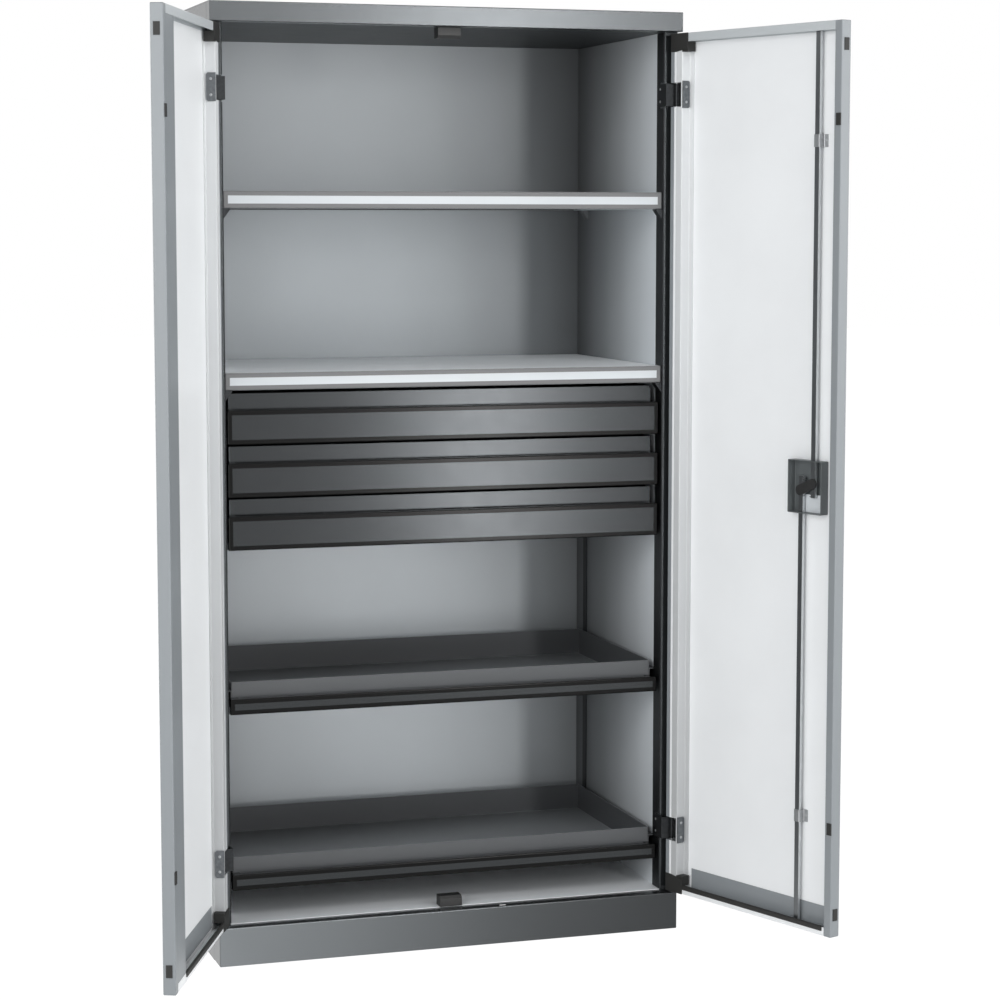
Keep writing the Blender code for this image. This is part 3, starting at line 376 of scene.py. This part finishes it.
def matt_above(material, roughness):
    """Matt upper face without metal, as paint looks where dust settles."""
    links = material.node_tree.links
    shader = material.node_tree.nodes["Principled BSDF"]
    gloss = shader.inputs["Roughness"].links[0].from_socket
    metallic = shader.inputs["Metallic"].default_value
    upper = facing(material, UP)
    matt = maths(material, "MAXIMUM", gloss, maths(material, "MULTIPLY", upper, roughness))
    metal = maths(material, "MULTIPLY", maths(material, "SUBTRACT", 1.0, upper), metallic)
    links.new(matt, shader.inputs["Roughness"])
    links.new(metal, shader.inputs["Metallic"])
    return material


def graded(material, direction, stops):
    """Paint light and shade along a node: the depth of the paint changes gently from one end of its box to
    the other.
    """
    nodes, links = material.node_tree.nodes, material.node_tree.links
    base = nodes["Principled BSDF"].inputs["Base Color"]
    ramp = nodes.new("ShaderNodeValToRGB")
    ramp.color_ramp.interpolation = "CARDINAL"
    elements = ramp.color_ramp.elements
    while len(elements) < len(stops):
        elements.new(RAMP_MIDDLE)
    for element, (place, share) in zip(elements, stops):
        element.position = place
        element.color = (share, share, share, 1.0)
    links.new(along(material, "Generated", direction), ramp.inputs["Fac"])
    dim = nodes.new("ShaderNodeVectorMath")
    dim.operation = "MULTIPLY"
    links.new(base.links[0].from_socket, dim.inputs[0])
    links.new(ramp.outputs["Color"], dim.inputs[1])
    links.new(dim.outputs["Vector"], base)
    return material


def opened_from_shut(joint_name):
    """Matrix that takes a place on the shut door to the same place at rest."""
    joint = JOINTS[joint_name]
    pivot = Matrix.Translation(Vector(joint["pos_m"]))
    turn = Matrix.Rotation(-math.radians(joint["range_deg"][0]), 4, Vector(joint["axis"]))
    return pivot @ turn @ pivot.inverted()


def shut_box(node, turn):
    """Lowest and highest corner of a node of an open door, measured with the door shut."""
    back = turn.inverted()
    corners = [back @ NODES[node].matrix_world @ vertex.co for vertex in NODES[node].data.vertices]
    low = Vector(min(corner[axis] for corner in corners) for axis in range(3))
    high = Vector(max(corner[axis] for corner in corners) for axis in range(3))
    return low, high


def door_finish(label):
    """Door paint: near white inside, grey on the front, the same grey as painted shade on the top lip, and a
    deeper grey as painted shade on the upright lips.
    """
    turn = opened_from_shut(f"{label}_swing")
    low, high = shut_box(f"{label}_panel", turn)
    pivot = Vector(JOINTS[f"{label}_swing"]["pos_m"])
    to_node = NODES[f"{label}_panel"].matrix_world.inverted()
    from_shut = to_node.to_3x3() @ turn.to_3x3()
    outward = Vector(RIGHT if low.x + high.x > 2 * pivot.x else LEFT)
    across = (from_shut @ outward).normalized()
    inward = (from_shut @ Vector(BACKWARD)).normalized()
    hinge_reach, free_reach = sorted((corner - pivot).dot(outward) for corner in (low, high))
    hinge_lip = (to_node @ pivot).dot(across) + hinge_reach + HINGE_BAND
    free_lip = (to_node @ pivot).dot(across) + free_reach - EDGE_BAND
    top_lip = (to_node @ turn @ high).z - EDGE_BAND
    front_skin = (to_node @ turn @ low).dot(inward) + SKIN_T / 2

    material = powder_coat(f"{label}_paint", DOOR_PAINT, SATIN)
    in_skin = maths(material, "LESS_THAN", along(material, "Object", inward), front_skin)
    second_tone(material, in_skin, DOOR_FRONT_AND_LIP_SHADE)
    # Painted shade: the top lip, apart from the outer face, is grey as if in shade
    behind = maths(material, "SUBTRACT", 1.0, facing(material, -inward))
    above = maths(material, "GREATER_THAN", along(material, "Object", UP), top_lip)
    second_tone(material, maths(material, "MULTIPLY", above, behind), DOOR_FRONT_AND_LIP_SHADE)
    # Painted shade: the lips at the free edge and at the hinge are a deeper grey
    place = along(material, "Object", across)
    at_free_edge = maths(material, "GREATER_THAN", place, free_lip)
    at_hinge = maths(material, "LESS_THAN", place, hinge_lip)
    upright = maths(material, "MAXIMUM", at_free_edge, at_hinge)
    return second_tone(material, maths(material, "MULTIPLY", upright, behind), DOOR_EDGE_SHADE)


def rod_finish(node):
    """Zinc rod with painted shade: its broad inner face is painted dark."""
    turn = opened_from_shut("right_door_swing")
    to_node = NODES[node].matrix_world.inverted().to_3x3()
    inward = (to_node @ turn.to_3x3() @ Vector(BACKWARD)).normalized()
    return toned_faces(plated_steel(node + "_steel", ROD_ZINC, ZINC_GLOSS, ALONG_ROD), inward, ROD_FACE_SHADE)


def tray_finish(node):
    """Dark tray with painted light on its floor, lighter towards the front and the right."""
    paint = powder_coat(node + "_paint", TRAY_PAINT, SATIN, TRAY_METAL)
    forward = maths(paint, "ADD", along(paint, "Generated", TRAY_SLANT), TRAY_LEVEL)
    return second_tone(paint, maths(paint, "MULTIPLY", facing(paint, UP), forward), TRAY_PAINTED_LIGHT)


def carcass_finishes():
    """Outer sheets, inner walls and shelves that differ from the rest of their slot, mostly by painted shade
    and painted light.
    """
    # Painted shade on the ceiling
    ceiling = powder_coat("ceiling_paint", CEILING_SHADE_PAINT, MATT, CEILING_METAL)
    # Painted shade across the back panel and up it
    back = powder_coat("back_paint", BACK_PAINT, MATT, WALL_METAL)
    graded(graded(back, BACK_SHADE_SLANT, BACK_SHADE_ACROSS), UP, BACK_SHADE_UP)
    # Painted light and shade along the plinth rail; its end faces keep the plain carcass paint
    rail = graded(carcass_coat("plinth_paint", PLINTH_PAINT), RIGHT, PLINTH_SHADE_ACROSS)
    # Painted shade on the roof's downward faces
    roof = toned_faces(carcass_coat("roof_paint", CARCASS_PAINT), DOWN, ROOF_UNDER_SHADE)
    finishes = {
        "ceiling_panel": toned_faces(ceiling, DOWN, CEILING_UNDER_SHADE),
        "back_panel": toned_faces(back, BACKWARD, BACK_OUTER),
        "plinth_front_rail": toned_faces(toned_faces(rail, RIGHT, CARCASS_PAINT), LEFT, CARCASS_PAINT),
        # Painted light on the floor panel
        "floor_panel": powder_coat("floor_paint", FLOOR_LIT_PAINT, MATT),
        "top_panel": matt_above(roof, ROOF_MATT),
    }
    for side in ("left", "right"):
        # Painted shade, deepening towards the back of each inner side wall
        liner = powder_coat(f"{side}_side_liner_paint", LINER_PAINT, MATT, WALL_METAL)
        finishes[f"{side}_side_liner"] = graded(liner, BACKWARD, LINER_SHADE_BACKWARD)
        # Painted shade on the posts' front faces
        panel = carcass_coat(f"{side}_side_panel_paint", CARCASS_PAINT)
        finishes[f"{side}_side_panel"] = toned_faces(panel, FORWARD, POST_FRONT_SHADE)
    for node in ("upper_shelf", "lower_shelf"):
        # Painted light on the shelf tops
        shelf = toned_faces(powder_coat(node + "_paint", SHELF_PAINT, SEMI_MATT), UP, SHELF_TOP_LIGHT)
        # Painted shade in a rim round the shelf front
        finishes[node] = rimmed(shelf, node, SHELF_RIM_SHADE)
    return finishes


def pull_out_finishes():
    """Drawers and trays: rims of painted shade round the fronts, and floors that show, with painted light on
    the tray floors.
    """
    finishes = {node: tray_finish(node) for node in ("tray_1_box", "tray_2_box")}
    for node in ("drawer_1_box", "drawer_2_box", "drawer_3_box"):
        box = toned_faces(drawer_coat(node + "_paint"), UP, TRAY_PAINT)
        finishes[node] = matt_above(box, DRAWER_FLOOR_MATT)
    for node in NODES:
        if node.endswith("_front") and NODES[node].dimensions.x > WIDE_FRONT:
            # Painted shade in a rim round each drawer and tray front
            finishes[node] = rimmed(drawer_coat(node + "_paint"), node, DRAWER_RIM_SHADE)
    return finishes


def door_finishes():
    """Doors with painted shade on their lips and stiles, their hinge plates and the lock."""
    finishes = {
        # Painted shade: the left door's edge stile is painted a deeper grey
        "left_door_edge_stile": powder_coat("edge_stile_paint", DOOR_EDGE_SHADE, SATIN),
        "lock_case": powder_coat("lock_case_paint", LOCK_CASE_PAINT, SEMI_MATT, TRAY_METAL),
    }
    for label in ("left_door", "right_door"):
        finishes[f"{label}_panel"] = door_finish(label)
        # Painted shade, darker towards the foot of each hinge stile
        stile = powder_coat(f"{label}_stile_paint", STILE_PAINT, MATT)
        finishes[f"{label}_hinge_stile"] = graded(stile, UP, STILE_SHADE_UP)
    for rod in ("upper_rod", "lower_rod"):
        finishes[rod] = rod_finish(rod)
        finishes[f"{rod}_guide"] = MATERIALS["zinc_steel"]
    for node in NODES:
        if node.endswith("_hinge_plate"):
            finishes[node] = plated_steel(node + "_steel", PLATE_STEEL, SATIN, ALL_WAYS)
    return finishes


def dress_frame():
    """Give every solid its own finish, or else that of its record slot."""
    finishes = {**carcass_finishes(), **pull_out_finishes(), **door_finishes()}
    for subpart in frame["record"]["subparts"]:
        node = NODES[subpart["node"]]
        material = finishes.get(subpart["node"], MATERIALS[subpart["material_slot"]])
        for slot in node.material_slots:
            slot.material = material


def add_piece(name, bm, body, slot, turn=None, material=None):
    """Make a trim piece that rides on a body, turned to the rest pose if it was placed on a shut door."""
    bmesh.ops.recalc_face_normals(bm, faces=bm.faces)
    if turn:
        bmesh.ops.transform(bm, matrix=turn, verts=bm.verts)
    mesh = bpy.data.meshes.new(name)
    bm.to_mesh(mesh)
    bm.free()
    mesh.materials.append(material or MATERIALS[slot])
    piece = bpy.data.objects.new(name, mesh)
    bpy.context.scene.collection.objects.link(piece)
    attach(piece, body)
    return piece


def add_box(bm, low, high):
    low, high = Vector(low), Vector(high)
    place = Matrix.Translation((low + high) / 2) @ Matrix.Diagonal((*(high - low), 1.0))
    bmesh.ops.create_cube(bm, size=1.0, matrix=place)


def close_rings(bm, rings):
    """Walls between rings of points, with a cap on the first and the last."""
    steps = len(rings[0])
    for lower, upper in zip(rings, rings[1:]):
        for step in range(steps):
            following = (step + 1) % steps
            bm.faces.new((lower[step], lower[following], upper[following], upper[step]))
    bm.faces.new(rings[0][::-1])
    bm.faces.new(rings[-1])


def add_door_trim(label, side):
    """Rubber pads on the lip of the free edge, and plugs in the edge itself."""
    turn = opened_from_shut(f"{label}_swing")
    low, high = shut_box(f"{label}_panel", turn)
    free_x = low.x if side > 0 else high.x
    lip_y = high.y + PROUD
    bm = bmesh.new()
    for middle in PAD_HEIGHTS:
        near, far = sorted((free_x, free_x + side * PAD_W))
        add_box(bm, (near, lip_y, middle - PAD_H / 2), (far, lip_y + PAD_T, middle + PAD_H / 2))
    centre = (low.y + high.y) / 2
    near, far = sorted((free_x - side * PROUD, free_x - side * (PROUD + PLUG_T)))
    for middle in (low.z + PLUG_FROM_END, high.z - PLUG_FROM_END):
        add_box(bm, (near, centre - PLUG_W / 2, middle - PLUG_H / 2),
                (far, centre + PLUG_W / 2, middle + PLUG_H / 2))
    add_piece(f"{label}_edge_rubber", bm, label, "black_rubber", turn)


def add_foot_shade_strip(label):
    """Painted shade: a grey strip along the foot of the door's inner skin, above the seal."""
    turn = opened_from_shut(f"{label}_swing")
    seal_low, seal_high = shut_box(f"{label}_bottom_seal", turn)
    skin_low, _ = shut_box(f"{label}_panel", turn)
    face = skin_low.y + SKIN_T + PROUD
    bm = bmesh.new()
    add_box(bm, (seal_low.x + FOOT_SHADE_END, face, seal_high.z - FOOT_SHADE_BELOW),
            (seal_high.x - FOOT_SHADE_END, face + FOOT_SHADE_T, seal_high.z + FOOT_SHADE_H))
    paint = powder_coat(f"{label}_foot_shade_paint", DOOR_EDGE_SHADE, SATIN)
    add_piece(f"{label}_foot_shade_strip", bm, label, "door_light_grey", turn, paint)


def add_screw(bm, at, out):
    """Pan-head screw on a face that looks along out."""
    rotation = Vector(UP).rotation_difference(Vector(out)).to_matrix().to_4x4()
    place = Matrix.Translation(Vector(at)) @ rotation
    profile = ((SCREW_R, PROUD), (SCREW_R, SCREW_T / 2), (SCREW_R * SCREW_CROWN, SCREW_T))
    angles = [2 * math.pi * step / SCREW_STEPS for step in range(SCREW_STEPS)]
    rings = []
    for radius, height in profile:
        points = [Vector((radius * math.cos(angle), radius * math.sin(angle), height)) for angle in angles]
        rings.append([bm.verts.new(place @ point) for point in points])
    close_rings(bm, rings)


def add_hinge_screws(label, side):
    """Two screws in each hinge leaf on the post and two in each plate on the door."""
    turn = opened_from_shut(f"{label}_door_swing")
    inward = LEFT if side > 0 else RIGHT
    on_post, on_door = bmesh.new(), bmesh.new()
    for place in ("lower", "upper"):
        low, high = shut_box(f"{label}_{place}_hinge_leaf", Matrix())
        inner_x = low.x if side > 0 else high.x
        for share in LEAF_SCREW_SHARES:
            add_screw(on_post, (inner_x, high.y - LEAF_SCREW_Y, low.z + share * (high.z - low.z)), inward)
        low, high = shut_box(f"{label}_{place}_hinge_plate", turn)
        inner_x = low.x if side > 0 else high.x
        for share in LEAF_SCREW_SHARES:
            add_screw(on_door, (inner_x, (low.y + high.y) / 2, low.z + share * (high.z - low.z)), inward)
    add_piece(f"{label}_post_screws", on_post, "cabinet", "zinc_steel")
    add_piece(f"{label}_door_screws", on_door, f"{label}_door", "zinc_steel", turn)


def add_guide_screws():
    """A screw in each foot of the rod guides."""
    turn = opened_from_shut("right_door_swing")
    bm = bmesh.new()
    for node in ("upper_rod_guide", "lower_rod_guide"):
        low, high = shut_box(node, turn)
        for x in (low.x + GUIDE_SCREW_X, high.x - GUIDE_SCREW_X):
            add_screw(bm, (x, low.y + SKIN_T, (low.z + high.z) / 2), BACKWARD)
    add_piece("rod_guide_screws", bm, "right_door", "zinc_steel", turn)


def cam_outline():
    """Bar with round ends, tilted about the pinion's axis."""
    tilt = Matrix.Rotation(CAM_TILT, 4, "Y")
    radius = CAM_W / 2
    outline = []
    for end, start in ((-1, math.pi / 2), (1, -math.pi / 2)):
        for step in range(CAM_STEPS + 1):
            angle = start + math.pi * step / CAM_STEPS
            x = end * (CAM_L - CAM_W) / 2 + radius * math.cos(angle)
            outline.append(tilt @ Vector((x, 0.0, radius * math.sin(angle))))
    return outline


def add_lock_trim():
    """Black cam bar on the end of the pinion, and a pale keeper plate on the floor of the lock case."""
    turn = opened_from_shut("right_door_swing")
    gear_low, gear_high = shut_box("lock_pinion", turn)
    _, rod_high = shut_box("upper_rod", turn)
    case_low, _ = shut_box("lock_case", turn)
    centre = (gear_low + gear_high) / 2
    front = max(rod_high.y, gear_high.y) + PROUD
    cam = bmesh.new()
    rings = []
    for y in (front, front + CAM_T):
        rings.append([cam.verts.new(point + Vector((centre.x, y, centre.z))) for point in cam_outline()])
    close_rings(cam, rings)
    add_piece("lock_cam_bar", cam, "lock_handle", "black_plastic", turn)
    keeper = bmesh.new()
    floor = case_low.y + SKIN_T + PROUD
    add_box(keeper, (centre.x - KEEPER_HALF_W, floor, case_low.z + SKIN_T + PROUD),
            (centre.x + KEEPER_HALF_W, floor + KEEPER_T, case_low.z + SKIN_T + KEEPER_H))
    paint = powder_coat("keeper_paint", SHELF_PAINT, SATIN)
    add_piece("lock_keeper_plate", keeper, "right_door", "zinc_steel", turn, paint)


def seen_rays(nodes, links):
    """Rays that show the background itself, straight or in a mirror."""
    ray = nodes.new("ShaderNodeLightPath")
    seen = ray.outputs["Is Camera Ray"]
    for kind in ("Is Glossy Ray", "Is Transmission Ray"):
        either = nodes.new("ShaderNodeMath")
        either.operation = "MAXIMUM"
        links.new(seen, either.inputs[0])
        links.new(ray.outputs[kind], either.inputs[1])
        seen = either.outputs["Value"]
    return seen


def build_stage():
    """Pale floor that glows white where it is seen and takes a faint shadow."""
    bm = bmesh.new()
    bmesh.ops.create_grid(bm, x_segments=1, y_segments=1, size=STAGE_REACH)
    mesh = bpy.data.meshes.new("studio_floor")
    bm.to_mesh(mesh)
    bm.free()
    floor = bpy.data.objects.new("studio_floor", mesh)
    floor.location.z = -PROUD
    bpy.context.scene.collection.objects.link(floor)
    material, nodes, links = new_material("studio_floor_white")
    shader = nodes["Principled BSDF"]
    shader.inputs["Base Color"].default_value = STAGE_COLOUR
    shader.inputs["Roughness"].default_value = STAGE_ROUGHNESS
    glow = nodes.new("ShaderNodeEmission")
    glow.inputs["Color"].default_value = WHITE
    glow.inputs["Strength"].default_value = STAGE_GLOW
    share = maths(material, "MULTIPLY", seen_rays(nodes, links), STAGE_GLOW_SHARE)
    mix = nodes.new("ShaderNodeMixShader")
    links.new(share, mix.inputs["Fac"])
    links.new(shader.outputs["BSDF"], mix.inputs[1])
    links.new(glow.outputs["Emission"], mix.inputs[2])
    links.new(mix.outputs["Shader"], nodes["Material Output"].inputs["Surface"])
    mesh.materials.append(material)


def add_area_light(name, at, target, size, power):
    data = bpy.data.lights.new(name, "AREA")
    data.shape = "RECTANGLE"
    data.size, data.size_y = size
    data.energy = power
    lamp = bpy.data.objects.new(name, data)
    lamp.location = at
    lamp.rotation_euler = (Vector(target) - Vector(at)).to_track_quat("-Z", "Y").to_euler()
    bpy.context.scene.collection.objects.link(lamp)


def build_light():
    """Soft lamps, and a world that is white where it is seen and dimmer as a source of light."""
    world = bpy.data.worlds.new("studio")
    bpy.context.scene.world = world
    world.use_nodes = True
    nodes, links = world.node_tree.nodes, world.node_tree.links
    ground = nodes["Background"]
    ground.inputs["Color"].default_value = AMBIENT_COLOUR
    ground.inputs["Strength"].default_value = AMBIENT_LEVEL
    white = nodes.new("ShaderNodeBackground")
    white.inputs["Color"].default_value = WHITE
    mix = nodes.new("ShaderNodeMixShader")
    links.new(seen_rays(nodes, links), mix.inputs["Fac"])
    links.new(ground.outputs["Background"], mix.inputs[1])
    links.new(white.outputs["Background"], mix.inputs[2])
    links.new(mix.outputs["Shader"], nodes["World Output"].inputs["Surface"])
    for name, (at, target, size, power) in LAMPS.items():
        add_area_light(name, at, target, size, power)


def build_camera():
    data = bpy.data.cameras.new("photo_camera")
    data.sensor_width = SENSOR_MM
    data.lens = CAMERA_LENS_MM
    camera = bpy.data.objects.new("photo_camera", data)
    camera.location = CAMERA_AT
    camera.rotation_euler = (math.radians(LEVEL_DEG + CAMERA_PITCH_DEG), 0.0, math.radians(CAMERA_YAW_DEG))
    bpy.context.scene.collection.objects.link(camera)
    bpy.context.scene.camera = camera


dress_frame()
add_door_trim("left_door", -1)
add_door_trim("right_door", 1)
# Painted shade strips at the feet of the doors
add_foot_shade_strip("left_door")
add_foot_shade_strip("right_door")
add_hinge_screws("left", -1)
add_hinge_screws("right", 1)
add_guide_screws()
add_lock_trim()
build_stage()
build_light()
build_camera()
bpy.context.scene.view_settings.view_transform = "Standard"
